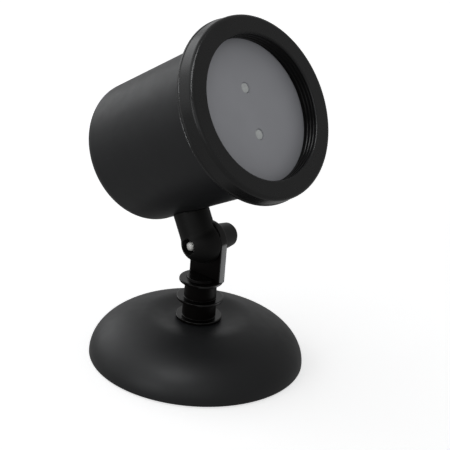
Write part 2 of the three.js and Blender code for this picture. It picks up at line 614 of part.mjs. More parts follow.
function addChassis(optical) {
  place(optical, 'laser_heat_sink', heatSink(), aluminium);
  place(optical, 'inner_chassis', innerChassis(), satinBlack);
  pillarPlaces().forEach(([, y, z], i) => {
    placeAxialScrew(optical, `chassis_screw_${i + 1}`, SCREWS.chassis, CHASSIS_X[1], y, z, 1);
  });
  BLOCK_SCREW_Y.forEach((y, i) => {
    placeAxialScrew(optical, `heat_sink_screw_${i + 1}`, SCREWS.heatSink, CHASSIS_X[0], y, 0, -1);
  });
  place(optical, 'driver_board', driverBoard(), boardGreen);
  BOARD_SCREW_PLACES.forEach(([y, z], i) => {
    placeAxialScrew(optical, `board_screw_${i + 1}`, SCREWS.board, BOARD_X[0], y, z, -1);
  });
  const partsX = BOARD_X[0] - GAP;
  place(optical, 'driver_chip', box([partsX - 1.8, partsX], [-6, 6], [-13, -5]), rubberBlack);
  [[-7, 11, 4], [7, 11, 3.2]].forEach(([y, z, radius], i) => {
    const can = turnedX(rodProfile(radius, partsX - CAPACITOR_LENGTH, partsX), ROUND_SMALL);
    place(optical, `driver_capacitor_${i + 1}`, can, aluminium).position.set(0, y, z);
  });
}

// ---------------------------------------------------------------- power inlet
const INLET_SEAL_THICKNESS = 0.8;
const INLET_FLANGE_RADIUS = 7.8;
const INLET_FLANGE_THICKNESS = 2;
const INLET_BARREL_LENGTH = 13.4;
const INLET_NUT_RADIUS = 8;
const INLET_NUT_THICKNESS = 2.6;
const PLUG_HOLE_RADIUS = 3.4;
const CONTACT_PIN_RADIUS = 1;
const SOCKET_DEPTH = 9;

function addInlet(optical) {
  const sealBack = -HOUSING_LENGTH - GAP - INLET_SEAL_THICKNESS;
  const flangeFront = sealBack - GAP;
  const flangeBack = flangeFront - INLET_FLANGE_THICKNESS;
  const barrelRadius = INLET_HOLE_RADIUS - GAP;
  const barrelFront = flangeFront + INLET_BARREL_LENGTH;
  const socketFloor = flangeBack + SOCKET_DEPTH;
  const socket = turnedX([
    [0, barrelFront],
    [barrelRadius, barrelFront],
    [barrelRadius, flangeFront],
    [INLET_FLANGE_RADIUS, flangeFront],
    [INLET_FLANGE_RADIUS, flangeBack + 0.5],
    [INLET_FLANGE_RADIUS - 0.5, flangeBack],
    [PLUG_HOLE_RADIUS, flangeBack],
    [PLUG_HOLE_RADIUS, socketFloor],
    [CONTACT_PIN_RADIUS, socketFloor],
    [CONTACT_PIN_RADIUS, flangeBack + 1],
    [0, flangeBack + 1],
  ], ROUND_SMALL);
  place(optical, 'dc_inlet', socket, glossBlack);
  const seal = ringProfile(INLET_HOLE_RADIUS, INLET_FLANGE_RADIUS - 0.4, sealBack, -HOUSING_LENGTH - GAP);
  place(optical, 'inlet_seal', turnedX(seal, ROUND_SMALL), rubberBlack);
  const nutX = [REAR_WALL_X + GAP, REAR_WALL_X + GAP + INLET_NUT_THICKNESS];
  const nutHole = turnedX(rodProfile(INLET_HOLE_RADIUS, nutX[0] - 1, nutX[1] + 1), ROUND_SMALL);
  const nut = cut(turnedX(rodProfile(INLET_NUT_RADIUS, ...nutX), 6), nutHole);
  place(optical, 'inlet_nut', nut, steel);
}

// ---------------------------------------------------------------- assembly
function place(group, name, geometry, material) {
  const mesh = new THREE.Mesh(closed(geometry), material);
  mesh.name = name;
  group.add(mesh);
  return mesh;
}

const lamp = new THREE.Group();
addBase(lamp);
addStem(lamp);

const head = new THREE.Group();
head.position.z = PIVOT_HEIGHT;
head.rotation.y = -HEAD_TILT;
lamp.add(head);
addPivot(head);

const optical = new THREE.Group();
optical.position.set(FRONT_X, HEAD_SIDE_Y, AXIS_HEIGHT);
head.add(optical);
place(optical, 'housing_shell', housingShell(), satinBlack);
place(optical, 'bezel_ring', bezelRing(), bezelBlack);
addOptics(optical);
addChassis(optical);
addInlet(optical);

export default lamp;
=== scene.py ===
"""Looks of the laser light projector: fine meshes, materials, floor, light and camera.

A piece's lengths are in millimetres in its own place, whose Z axis is the axis that it is turned about.
A place is a matrix that takes those millimetres to the row frame, in metres. The lights are in metres.
"""

import json
import math

import bmesh
import bpy
from mathutils import Matrix, Vector


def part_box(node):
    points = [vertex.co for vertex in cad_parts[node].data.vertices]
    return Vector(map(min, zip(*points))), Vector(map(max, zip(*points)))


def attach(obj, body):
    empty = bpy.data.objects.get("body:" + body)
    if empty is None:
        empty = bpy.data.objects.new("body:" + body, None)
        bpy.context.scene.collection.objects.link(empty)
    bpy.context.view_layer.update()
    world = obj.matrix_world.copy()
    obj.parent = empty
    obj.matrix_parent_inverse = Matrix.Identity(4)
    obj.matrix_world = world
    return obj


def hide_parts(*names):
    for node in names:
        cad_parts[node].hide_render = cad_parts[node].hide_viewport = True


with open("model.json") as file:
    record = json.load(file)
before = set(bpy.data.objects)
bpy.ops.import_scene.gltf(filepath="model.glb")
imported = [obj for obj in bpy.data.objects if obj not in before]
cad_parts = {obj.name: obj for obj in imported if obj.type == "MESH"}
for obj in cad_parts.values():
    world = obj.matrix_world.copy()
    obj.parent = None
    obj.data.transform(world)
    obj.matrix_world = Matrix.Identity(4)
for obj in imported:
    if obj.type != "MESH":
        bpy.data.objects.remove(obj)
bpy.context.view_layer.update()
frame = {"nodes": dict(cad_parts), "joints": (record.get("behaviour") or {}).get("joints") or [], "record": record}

MM = 0.001
ORIGIN = Vector((0, 0, 0))
FORWARD = Vector((1, 0, 0))  # the way the light leaves, seen from above
SIDE = Vector((0, 1, 0))  # towards the thumb knob
UP = Vector((0, 0, 1))
NUT_TURN = 16  # degrees that the captive nut is turned about the stud


# ---------------------------------------------------------------- places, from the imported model
def centre(node):
    low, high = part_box(node)
    return (low + high) / 2


def place_at(origin, along, across):
    """A place with its Z axis along one direction and its X axis across it."""
    third = along.cross(across)
    turn = Matrix((across, third, along)).transposed().to_4x4()
    return Matrix.Translation(origin) @ turn @ Matrix.Scale(MM, 4)


def span(node, place):
    """Lowest and highest height of a CAD node in a place, and its greatest radius there, in mm."""
    back = place.inverted()
    points = [back @ vertex.co for vertex in frame["nodes"][node].data.vertices]
    heights = [point.z for point in points]
    return min(heights), max(heights), max(math.hypot(point.x, point.y) for point in points)


joints = {joint["name"]: joint for joint in frame["joints"]}
PIVOT = Vector(joints["head_tilt"]["pos_m"])
BEAM = (centre("front_window") - centre("inlet_seal")).normalized()
HEAD_UP = BEAM.cross(SIDE)
WINDOW_CENTRE = centre("front_window")

STAND = place_at(ORIGIN, UP, FORWARD)
KNOB_PLACE = place_at(PIVOT, SIDE, HEAD_UP)
NUT_PLACE = KNOB_PLACE @ Matrix.Rotation(math.radians(NUT_TURN), 4, "Z")
_, bezel_reach, _ = span("bezel_ring", place_at(WINDOW_CENTRE, BEAM, SIDE))
OPTICAL = place_at(WINDOW_CENTRE + BEAM * bezel_reach * MM, BEAM, SIDE)
NECK = place_at(Vector((PIVOT.x, WINDOW_CENTRE.y, PIVOT.z)), HEAD_UP, BEAM)

BASE_LOW, BASE_HIGH, BASE_RADIUS = span("base_shell", STAND)
PLATE_LOW, PLATE_HIGH, PLATE_RADIUS = span("base_bottom_plate", STAND)
PAD_LOW, PAD_HIGH, PAD_RADIUS = span("anti_slip_pad", STAND)
STEM_LOW, _, _ = span("stem_post", STAND)
BEZEL_BACK, _, BEZEL_RADIUS = span("bezel_ring", OPTICAL)
HOUSING_BACK, HOUSING_FRONT, COLLAR_RADIUS = span("housing_shell", OPTICAL)
WINDOW_BACK, WINDOW_FRONT, WINDOW_RADIUS = span("front_window", OPTICAL)
KNOB_LOW, KNOB_HIGH, KNOB_RADIUS = span("thumb_knob", KNOB_PLACE)
STUD_LOW, STUD_HIGH, STUD_RADIUS = span("thumb_stud", KNOB_PLACE)
PIVOT_HEIGHT = PIVOT.z / MM

# ---------------------------------------------------------------- dimensions that the frame doesn't state
CREST_RADIUS = 20
RIM_HEIGHT = 1.2
DIP_RADIUS = 13.5  # of the dip's level floor
DIP_EDGE = 32  # radius where the dip starts
DIP_DEPTH = 2.6
SHELL_WALL = 2.6
SOCKET_RADIUS = 7.8
SOCKET_WALL = 2.8
SOCKET_FLOOR = 10.3
SCREW_HOLE_RADIUS = 2.4

FLANGES = ((26.0, 13.4, 9.8), (37.5, 13.5, 9.4), (48.7, 12.7, 8.8))  # height, radius, stem above
FLANGE_THICKNESS = 1.7
FLANGE_RIM = 0.55
SPIGOT_RADIUS = 7.5
STEM_SCREW_TOP = 25
POST_REACH = 10.2  # no wall of the post between the flanges lies further out
EAR_RADIUS = 11.8
EAR_SPAN = (1.9, 7.0)
STUD_HOLE_RADIUS = 2.8

NECK_RADIUS = 10.4
NECK_END = (-1.5, 9.3)  # height where the neck's end starts to round off, and how far it goes
HUB_RADIUS = 12
HUB_REACH = 14.8
HUB_DOME = 0.5  # height where the hub's dome starts
SADDLE_GAP = 0.04
FRICTION_SEAT = 0.7  # height of the friction washer's seat
LAP_FACE = 1.55  # height of the flat that lies against the ear
LAP_RADIUS = 12.2  # of the room for the ear's round top
LAP_TOP = 9.3
CUT_REACH = 20  # cutters this long come out of the knuckle on every side
NUT_ACROSS_FLATS = 8
NUT_SPAN = (-7.9, -4.1)
KNOB_END_RADIUS = 6.7

HOUSING_FRONT_RADIUS = 42.6
HOUSING_REAR_RADIUS = 40.7
HOUSING_CORNER = 8.4
HOUSING_WALL = 2.7
COLLAR_BACK = -13.6
BODY_FRONT = -15.6
LEDGE = -14.4
REAR_DISH = (12.1, 30.0)  # radii between which the rear face is sunk
INLET_HOLE_RADIUS = 5.7
INLET_RADIUS = 5.4
BEZEL_FRONT_RADIUS = 50
OPENING_RADIUS = 39.6
RECESS_RINGS = (-2.6, -4.9, -7.2)
BEAM_COLOURS = ("green", "red")
THREAD_PITCH = 0.8
THREAD_DEPTH = 0.42


# ---------------------------------------------------------------- mesh helpers
def rounded(corners, steps=6):
    """Section points from (radius, height, rounding) corners, each rounding drawn as an arc.

    A section that starts off the axis closes on itself. A close support point on each side of
    an arc keeps the shading of its neighbours flat."""
    support = 0.04
    most = 0.45  # share of the shorter neighbouring side that a rounding may take
    loop = corners[0][0] > 0
    count = len(corners)
    points = []
    for i, (radius, height, rounding) in enumerate(corners):
        here = Vector((radius, height))
        if rounding == 0 or (not loop and i in (0, count - 1)):
            points.append((radius, height))
            continue
        before = Vector(corners[i - 1][:2]) - here
        after = Vector(corners[(i + 1) % count][:2]) - here
        room = most * min(before.length, after.length)
        before.normalize()
        after.normalize()
        half = before.angle(after) / 2
        tangent = min(rounding / math.tan(half), room)
        arc = tangent * math.tan(half)
        middle = here + (before + after).normalized() * (arc / math.sin(half))
        start, end = here + before * tangent, here + after * tangent
        points.append(tuple(start + before * support))
        for k in range(steps + 1):
            spoke = (start - middle).lerp(end - middle, k / steps).normalized()
            points.append(tuple(middle + spoke * arc))
        points.append(tuple(end + after * support))
    if loop:
        points.append(points[0])
    return points


def disc(radius, low, high, below, above):
    """Section of a flat disc, given the roundings of its lower and its upper rim."""
    return rounded([(0, low, 0), (radius, low, below), (radius, high, above), (0, high, 0)])


def ring(hole, radius, low, high, rounding):
    """Section of a flat ring, given the rounding of its outer rims."""
    ease = 0.1
    lower = [(hole, low, ease), (radius, low, rounding)]
    upper = [(radius, high, rounding), (hole, high, ease)]
    return rounded(lower + upper)


def rod(radius, low, high):
    """Section of a rod with square ends."""
    return [(0, low), (radius, low), (radius, high), (0, high)]


def ellipse(middle, radii, start, end, steps):
    """Points of an elliptical arc from one angle to another, in degrees."""
    angles = [math.radians(start + (end - start) * k / steps) for k in range(steps + 1)]
    return [
        (middle[0] + radii[0] * math.cos(angle), middle[1] + radii[1] * math.sin(angle))
        for angle in angles
    ]


def turned_mesh(section, place, segments):
    """A bmesh turned about the place's Z axis through (radius, height) points."""
    shape = bmesh.new()
    loop = section[0] == section[-1]
    on_axis = 1e-6
    turn = 2 * math.pi / segments
    rings = []
    for radius, height in section[:-1] if loop else section:
        count = segments if radius > on_axis else 1
        points = [(radius * math.cos(i * turn), radius * math.sin(i * turn), height) for i in range(count)]
        rings.append([shape.verts.new(place @ Vector(point)) for point in points])
    pairs = list(zip(rings, rings[1:]))
    if loop:
        pairs.append((rings[-1], rings[0]))
    for lower, upper in pairs:
        for i in range(segments):
            j = i + 1
            corners = [lower[i % len(lower)], lower[j % len(lower)]]
            corners += [upper[j % len(upper)], upper[i % len(upper)]]
            corners = list(dict.fromkeys(corners))
            if len(corners) > 2:
                shape.faces.new(corners)
    bmesh.ops.recalc_face_normals(shape, faces=shape.faces)
    return shape


def to_object(name, shape, sharp=38):
    """An object from a bmesh, smooth except at edges sharper than the angle in degrees."""
    mesh = bpy.data.meshes.new(name)
    shape.to_mesh(mesh)
    shape.free()
    obj = bpy.data.objects.new(name, mesh)
    bpy.context.scene.collection.objects.link(obj)
    smooth(obj, sharp)
    return obj


def smooth(obj, sharp=38):
    """Smooth shading, except at edges sharper than the angle in degrees."""
    for face in obj.data.polygons:
        face.use_smooth = True
    obj.data.set_sharp_from_angle(angle=math.radians(sharp))


def turned(name, section, place, segments=192):
    """An object turned about the place's Z axis through (radius, height) points."""
    return to_object(name, turned_mesh(section, place, segments))


def apply_modifiers(obj):
    """Bakes an object's modifiers into its mesh."""
    bpy.context.view_layer.update()
    graph = bpy.context.evaluated_depsgraph_get()
    mesh = bpy.data.meshes.new_from_object(obj.evaluated_get(graph))
    old = obj.data
    obj.modifiers.clear()
    obj.data = mesh
    bpy.data.meshes.remove(old)
    mesh.name = obj.name


def combine(obj, tools, operation):
    """Joins or cuts an object with helper objects, which are then removed.

    The work is done in millimetres, since the solver's tolerance is too coarse for metres."""
    obj.data.transform(Matrix.Scale(1 / MM, 4))
    for tool in tools:
        tool.data.transform(Matrix.Scale(1 / MM, 4))
        modifier = obj.modifiers.new("combine", "BOOLEAN")
        modifier.operation = operation
        modifier.solver = "MANIFOLD"
        modifier.object = tool
        apply_modifiers(obj)
        bpy.data.objects.remove(tool)
    obj.data.transform(Matrix.Scale(MM, 4))


def even_out(obj, size, rounds):
    """Rebuilds a mesh in voxels of a size in millimetres and softens its edges."""
    remesh = obj.modifiers.new("even", "REMESH")
    remesh.mode = "VOXEL"
    remesh.voxel_size = size * MM
    soften = obj.modifiers.new("soften", "SMOOTH")
    soften.factor = 0.5
    soften.iterations = rounds
    apply_modifiers(obj)


def helper_rod(radius, low, high, place):
    """A plain rod to cut with."""
    return turned("helper", rod(radius, low, high), place, 96)


def extruded(outline, low, high, place, rounding=0):
    """A helper slab of an outline of (x, y) points between two heights, its rims rounded."""
    shape = bmesh.new()
    bottom = shape.faces.new([shape.verts.new((x, y, low)) for x, y in outline])
    pushed = bmesh.ops.extrude_face_region(shape, geom=[bottom])
    top = [item for item in pushed["geom"] if isinstance(item, bmesh.types.BMVert)]
    bmesh.ops.translate(shape, verts=top, vec=(0, 0, high - low))
    bmesh.ops.recalc_face_normals(shape, faces=shape.faces)
    if rounding:
        square = math.radians(60)
        rims = [edge for edge in shape.edges if edge.calc_face_angle(0) > square]
        bmesh.ops.bevel(shape, geom=rims, offset=rounding, segments=6, profile=0.5, affect="EDGES")
    bmesh.ops.transform(shape, matrix=place, verts=shape.verts)
    return to_object("helper", shape)


def finish_piece(obj, material, body, slot, *nodes):
    """Gives a piece its material and its body, and hides the CAD nodes that it stands for; its slot is not used.
    """
    obj.data.materials.clear()
    obj.data.materials.append(material)
    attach(obj, body)
    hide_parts(*nodes)


# ---------------------------------------------------------------- materials
def scaled(tone, factor):
    return tuple(channel * factor for channel in tone)


class Look:
    """A Principled material whose sockets are fed by patterns in the object's own coordinates."""

    def __init__(self, name, roughness, **sockets):
        self.material = bpy.data.materials.new(name)
        self.material.use_nodes = True
        self.tree = self.material.node_tree
        self.shader = self.tree.nodes["Principled BSDF"]
        self.shader.inputs["Roughness"].default_value = roughness
        for socket, value in sockets.items():
            self.shader.inputs[socket.replace("_", " ")].default_value = value
        self.place = self.node("ShaderNodeTexCoord").outputs["Object"]

    def node(self, kind, **values):
        made = self.tree.nodes.new(kind)
        for key, value in values.items():
            setattr(made, key, value)
        return made

    def link(self, source, target):
        self.tree.links.new(source, target)

    def feed(self, socket, source):
        """Leads a pattern to one of the shader's own sockets."""
        self.link(source, self.shader.inputs[socket])

    def noise(self, size, detail=3.0, stretch=None):
        """Noise from 0 to 1 whose features are about size millimetres across."""
        made = self.node("ShaderNodeTexNoise")
        made.inputs["Scale"].default_value = 1 / (size * MM)
        made.inputs["Detail"].default_value = detail
        if stretch is None:
            self.link(self.place, made.inputs["Vector"])
        else:
            mapping = self.node("ShaderNodeMapping")
            mapping.inputs["Scale"].default_value = stretch
            self.link(self.place, mapping.inputs["Vector"])
            self.link(mapping.outputs["Vector"], made.inputs["Vector"])
        return made.outputs["Fac"]

    def ramp(self, source, low, high, start=0.3, end=0.7):
        """A number that goes from low to high as the source goes from start to end."""
        made = self.node("ShaderNodeMapRange", clamp=True)
        for socket, value in (("From Min", start), ("From Max", end), ("To Min", low), ("To Max", high)):
            made.inputs[socket].default_value = value
        self.link(source, made.inputs["Value"])
        return made.outputs["Result"]

    def colours(self, source, dark, light, start=0.3, end=0.7):
        """The base colour, from dark to light as the source goes from start to end."""
        made = self.node("ShaderNodeValToRGB")
        first, last = made.color_ramp.elements
        first.position, last.position = start, end
        first.color, last.color = (*dark, 1), (*light, 1)
        self.link(source, made.inputs["Fac"])
        return made.outputs["Color"]

    def dusted(self, colour, dust, amount, size):
        """Adds sparse pale specks of a size in millimetres over a colour."""
        specks = self.noise(size, 1.0)
        mask = self.ramp(specks, 0, amount, start=0.70, end=0.78)
        mix = self.node("ShaderNodeMix", data_type="RGBA")
        self.link(mask, mix.inputs["Factor"])
        self.link(colour, mix.inputs["A"])
        mix.inputs["B"].default_value = (*dust, 1)
        return mix.outputs["Result"]

    def bumps(self, *layers):
        """Stacks bump layers, each (height source, strength, height in millimetres)."""
        normal = None
        for source, strength, height in layers:
            bump = self.node("ShaderNodeBump")
            bump.inputs["Strength"].default_value = strength
            bump.inputs["Distance"].default_value = height * MM
            self.link(source, bump.inputs["Height"])
            if normal is not None:
                self.link(normal, bump.inputs["Normal"])
            normal = bump.outputs["Normal"]
        self.feed("Normal", normal)


def moulded_plastic(name, tone, roughness, specular, grain=0.5, dust=0.25, depth=0.22):
    """Black moulded plastic: fine spark grain, slow changes of gloss and a trace of dust."""
    look = Look(name, roughness, Specular_IOR_Level=specular)
    slow = look.noise(22, 2.0)
    fine = look.noise(grain, 3.0)
    flow = look.noise(6, 4.0)
    colour = look.colours(slow, scaled(tone, 0.91), scaled(tone, 1.09))
    colour = look.dusted(colour, tuple(channel * 3.0 + 0.01 for channel in tone), dust, 1.1)
    look.feed("Base Color", colour)
    look.feed("Roughness", look.ramp(flow, roughness - 0.025, roughness + 0.025))
    look.bumps((fine, depth, 0.03), (flow, 0.03, 0.08))
    return look.material


def metal(name, tone, roughness, grain, stretch=None, strength=0.12):
    """A metal with lightly uneven tone and machining or casting grain."""
    look = Look(name, roughness, Metallic=1.0)
    slow = look.noise(9, 3.0)
    fine = look.noise(grain, 3.0, stretch)
    look.feed("Base Color", look.colours(slow, scaled(tone, 0.78), tone))
    look.feed("Roughness", look.ramp(fine, roughness - 0.08, roughness + 0.1))
    look.bumps((fine, strength, 0.05))
    return look.material


def grey_panel():
    """Smooth grey plastic disc with faint clouding and hairline wipe marks."""
    look = Look("panel_grey", 0.34, Specular_IOR_Level=0.35)
    cloud = look.noise(30, 2.0)
    wipe = look.noise(1.2, 2.0, (1.0, 0.08, 1.0))
    colour = look.colours(cloud, (0.505, 0.512, 0.545), (0.545, 0.552, 0.588))
    look.feed("Base Color", colour)
    look.feed("Roughness", look.ramp(wipe, 0.30, 0.40))
    look.bumps((look.noise(14, 2.0), 0.03, 0.05))
    return look.material


def rubber():
    """Matte black rubber, cloudy and finely pitted."""
    tone = (0.010, 0.010, 0.010)
    look = Look("rubber_black", 0.8, Specular_IOR_Level=0.3)
    slow = look.noise(12, 4.0)
    fine = look.noise(0.7, 4.0)
    colour = look.colours(slow, scaled(tone, 0.8), scaled(tone, 1.3))
    look.feed("Base Color", colour)
    look.feed("Roughness", look.ramp(fine, 0.7, 0.9))
    look.bumps((fine, 0.3, 0.06))
    return look.material


def fibre():
    """Pressed fibre friction disc."""
    look = Look("fibre_brown", 0.75)
    strands = look.noise(0.6, 6.0, (1.0, 0.3, 1.0))
    colour = look.colours(strands, (0.030, 0.020, 0.013), (0.075, 0.050, 0.030))
    look.feed("Base Color", colour)
    look.bumps((strands, 0.4, 0.08))
    return look.material


def circuit_board():
    """Green solder mask over faint copper tracks."""
    look = Look("board_green", 0.4)
    tracks = look.node("ShaderNodeTexBrick")
    tracks.inputs["Scale"].default_value = 1 / (3.2 * MM)
    tracks.inputs["Mortar Size"].default_value = 0.06
    tracks.inputs["Color1"].default_value = (0.010, 0.095, 0.032, 1)
    tracks.inputs["Color2"].default_value = (0.013, 0.110, 0.040, 1)
    tracks.inputs["Mortar"].default_value = (0.030, 0.190, 0.075, 1)
    look.link(look.place, tracks.inputs["Vector"])
    look.feed("Base Color", tracks.outputs["Color"])
    look.feed("Roughness", look.ramp(look.noise(2.5), 0.32, 0.5))
    look.bumps((tracks.outputs["Fac"], 0.2, 0.05))
    return look.material


def lens_glass():
    """Milky moulded glass, slightly uneven."""
    look = Look("lens_glass", 0.16, IOR=1.5, Coat_Weight=0.6, Coat_Roughness=0.08)
    cloud = look.noise(1.6, 2.0)
    colour = look.colours(cloud, (0.74, 0.77, 0.76), (0.86, 0.89, 0.88))
    look.feed("Base Color", colour)
    look.feed("Roughness", look.ramp(cloud, 0.12, 0.24))
    look.bumps((cloud, 0.05, 0.03))
    return look.material


def clear_glass():
    """Clear glass with a faint haze."""
    look = Look("glass", 0.05, IOR=1.5, Transmission_Weight=1.0)
    cloud = look.noise(4, 2.0)
    colour = look.colours(cloud, (0.86, 0.90, 0.89), (0.94, 0.97, 0.96))
    look.feed("Base Color", colour)
    look.feed("Roughness", look.ramp(cloud, 0.03, 0.09))
    return look.material


HOUSING_BLACK = moulded_plastic("housing_black", (0.0100, 0.0105, 0.0116), 0.46, 0.42)
BASE_BLACK = moulded_plastic("base_black", (0.0062, 0.0066, 0.0073), 0.46, 0.46, grain=0.6)
BEZEL_BLACK = moulded_plastic("bezel_black", (0.0085, 0.0086, 0.0087), 0.27, 0.40, depth=0.14)
# painted shade: a copy of the stem's black with little gloss, for faces that lie in shade or mirror dark
# surroundings
POST_PAINTED_SHADE = moulded_plastic("post_painted_shade", (0.0016, 0.0010, 0.0008), 0.5, 0.08, grain=0.9, dust=0.12)
STEM_BLACK = moulded_plastic("stem_black", (0.0012, 0.0009, 0.0008), 0.22, 0.38, grain=0.9, dust=0.12)
KNUCKLE_BLACK = moulded_plastic("knuckle_black", (0.0050, 0.0050, 0.0047), 0.5, 0.2)
# painted shade: a much darker copy of the bezel's black for the recess's wall
RECESS_PAINTED_SHADE = moulded_plastic("recess_painted_shade", (0.0010, 0.0009, 0.0008), 0.20, 0.16)
KNOB_BLACK = moulded_plastic("knob_black", (0.0034, 0.0035, 0.0036), 0.40, 0.42)
INLET_BLACK = moulded_plastic("inlet_black", (0.0040, 0.0040, 0.0040), 0.3, 0.5, grain=0.8)
PANEL_GREY = grey_panel()
RUBBER_BLACK = rubber()
FIBRE_BROWN = fibre()
STEEL = metal("steel", (0.72, 0.71, 0.68), 0.36, 0.5, (1.0, 0.15, 1.0))
STUD_STEEL = metal("stud_steel", (1.0, 1.0, 0.97), 0.6, 0.5)
BRASS = metal("brass", (0.60, 0.42, 0.15), 0.3, 0.4)
ALUMINIUM = metal("aluminium", (0.62, 0.63, 0.65), 0.35, 0.6, (0.2, 1.0, 1.0))
CAST_IRON = metal("cast_iron", (0.16, 0.16, 0.165), 0.6, 1.6, strength=0.6)
BOARD_GREEN = circuit_board()
LENS_GLASS = lens_glass()
CLEAR_GLASS = clear_glass()
SLOT_LOOKS = {
    "satin_black": HOUSING_BLACK,
    "gloss_black": INLET_BLACK,
    "bezel_black": BEZEL_BLACK,
    "knob_black": KNOB_BLACK,
    "panel_grey": PANEL_GREY,
    "rubber_black": RUBBER_BLACK,
    "fibre_brown": FIBRE_BROWN,
    "cast_iron": CAST_IRON,
    "steel": STEEL,
    "brass": BRASS,
    "aluminium": ALUMINIUM,
    "board_green": BOARD_GREEN,
    "glass": CLEAR_GLASS,
}


# ---------------------------------------------------------------- base
def dip_points(floor, edge, slope):
    """A cubic down from the dome, whose height and slope it meets at its edge, to the dip's level floor."""
    width = DIP_EDGE - DIP_RADIUS
    steps = 24
    points = []
    for k in reversed(range(steps)):
        share = k / steps
        lift = (3 - 2 * share) * share * share
        lean = (share - 1) * share * share
        height = floor + (edge - floor) * lift + slope * width * lean
        points.append((DIP_RADIUS + width * share, height))
    return points


def make_dome():
    """The base's shell: a flattened dome with a dip round the stem's socket."""
    middle = (CREST_RADIUS, RIM_HEIGHT)
    reach = BASE_RADIUS - CREST_RADIUS
    rise = BASE_HIGH - RIM_HEIGHT
    meet = math.acos((DIP_EDGE - CREST_RADIUS) / reach)
    edge = RIM_HEIGHT + rise * math.sin(meet)
    slope = -rise / reach / math.tan(meet)
    floor = BASE_HIGH - DIP_DEPTH
    underside = floor - SHELL_WALL
    inside = BASE_RADIUS - SHELL_WALL
    socket_bottom = SOCKET_FLOOR - SOCKET_WALL
    socket_outside = SOCKET_RADIUS + SOCKET_WALL
    section = [
        (inside, BASE_LOW),
        (BASE_RADIUS - 0.9, BASE_LOW),
        (BASE_RADIUS - 0.45, BASE_LOW + 0.08),
        (BASE_RADIUS - 0.15, BASE_LOW + 0.28),
        *ellipse(middle, (reach, rise), 0, math.degrees(meet), 64),
        *dip_points(floor, edge, slope),
        (SOCKET_RADIUS + 0.5, floor),
        (SOCKET_RADIUS + 0.15, floor - 0.15),
        (SOCKET_RADIUS, floor - 0.5),
        (SOCKET_RADIUS, SOCKET_FLOOR),
        (SCREW_HOLE_RADIUS, SOCKET_FLOOR),
        (SCREW_HOLE_RADIUS, socket_bottom),
        (socket_outside, socket_bottom),
        (socket_outside, underside),
        (CREST_RADIUS - 3, underside),
        *ellipse(middle, (reach - SHELL_WALL, rise - SHELL_WALL - 1), 90, 0, 24),
        (inside, BASE_LOW),
    ]
    dome = turned("base_dome", section, STAND, 288)
    finish_piece(dome, BASE_BLACK, "base", "satin_black", "base_shell")


def make_plate():
    plate = turned("bottom_plate", disc(PLATE_RADIUS, PLATE_LOW, PLATE_HIGH, 0.4, 0.3), STAND)
    finish_piece(plate, BASE_BLACK, "base", "satin_black", "base_bottom_plate")


def make_pad():
    """The anti-slip pad, with round grooves in its underside."""
    width, depth, slant = 1.6, 0.4, 0.4
    first, pitch, margin = 5.0, 4.6, 4.0
    grooves = []
    radius = first
    while radius < PAD_RADIUS - margin:
        grooves += [
            (radius, PAD_LOW, 0.15),
            (radius + slant, PAD_LOW + depth, 0.1),
            (radius + width - slant, PAD_LOW + depth, 0.1),
            (radius + width, PAD_LOW, 0.15),
        ]
        radius += pitch
    rim = [(PAD_RADIUS, PAD_LOW, 0.25), (PAD_RADIUS, PAD_HIGH, 0.2)]
    section = rounded([(0, PAD_LOW, 0), *grooves, *rim, (0, PAD_HIGH, 0)], 3)
    pad = turned("foot_pad", section, STAND)
    finish_piece(pad, RUBBER_BLACK, "base", "rubber_black", "anti_slip_pad")


# ---------------------------------------------------------------- stem
def post_section():
    """The post's outline: a spigot for the socket, and a slightly tapered length above each flange."""
    half = FLANGE_THICKNESS / 2
    corners = [
        (0, STEM_LOW, 0),
        (SPIGOT_RADIUS, STEM_LOW, 0.7),
        (SPIGOT_RADIUS, FLANGES[0][0] - half, 0.2),
    ]
    for (height, radius, above), following in zip(FLANGES, (*FLANGES[1:], None)):
        low, high = height - half, height + half
        corners += [(radius, low, FLANGE_RIM), (radius, high, FLANGE_RIM), (above, high, 0.25)]
        if following:
            corners.append((above - 0.2, following[0] - half, 0.3))
    top = high + 1.2
    corners += [(above - 0.6, top, 0.4), (0, top, 0)]
    return rounded(corners)


def ear_slab():
    """The ear: a slab as high as the pivot, with a half round top about it."""
    place = place_at(ORIGIN, SIDE, FORWARD)  # its Y axis points down
    low = FLANGES[-1][0]
    arc = [math.pi * k / 48 for k in range(49)]
    outline = [
        (EAR_RADIUS * math.cos(angle), -(PIVOT_HEIGHT + EAR_RADIUS * math.sin(angle)))
        for angle in arc
    ]
    outline += [(-EAR_RADIUS, -low), (EAR_RADIUS, -low)]
    return extruded(outline, *EAR_SPAN, place, rounding=0.7)


def make_stem():
    """The post and its ear. The walls between the flanges and the ear's side towards the hub get a duller copy of
    the stem's black as painted shade.
    """
    post = turned("stem_and_ear", post_section(), STAND)
    combine(post, [ear_slab()], "UNION")
    stud_hole = helper_rod(STUD_HOLE_RADIUS, 0, EAR_SPAN[1] + 5, KNOB_PLACE)
    screw_hole = helper_rod(SCREW_HOLE_RADIUS, 0, STEM_SCREW_TOP, STAND)
    combine(post, [stud_hole, screw_hole], "DIFFERENCE")
    smooth(post)
    finish_piece(post, STEM_BLACK, "stem", "gloss_black", "stem_post")
    post.data.materials.append(POST_PAINTED_SHADE)
    # upright faces near the axis, and the ear's side towards the hub, take the painted shade
    for face in post.data.polygons:
        near_axis = math.hypot(face.center.x, face.center.y) < POST_REACH * MM
        upright = abs(face.normal.z) < 0.5
        towards_hub = face.normal.y < -0.8
        if (near_axis and upright) or towards_hub:
            face.material_index = 1


# ---------------------------------------------------------------- knuckle and clamp
def housing_radius(height):
    """Outside radius of the housing's tapered body at a height in the optical place."""
    rear = HOUSING_BACK + HOUSING_CORNER
    share = (height - BODY_FRONT) / (rear - BODY_FRONT)
    return HOUSING_FRONT_RADIUS + (HOUSING_REAR_RADIUS - HOUSING_FRONT_RADIUS) * share


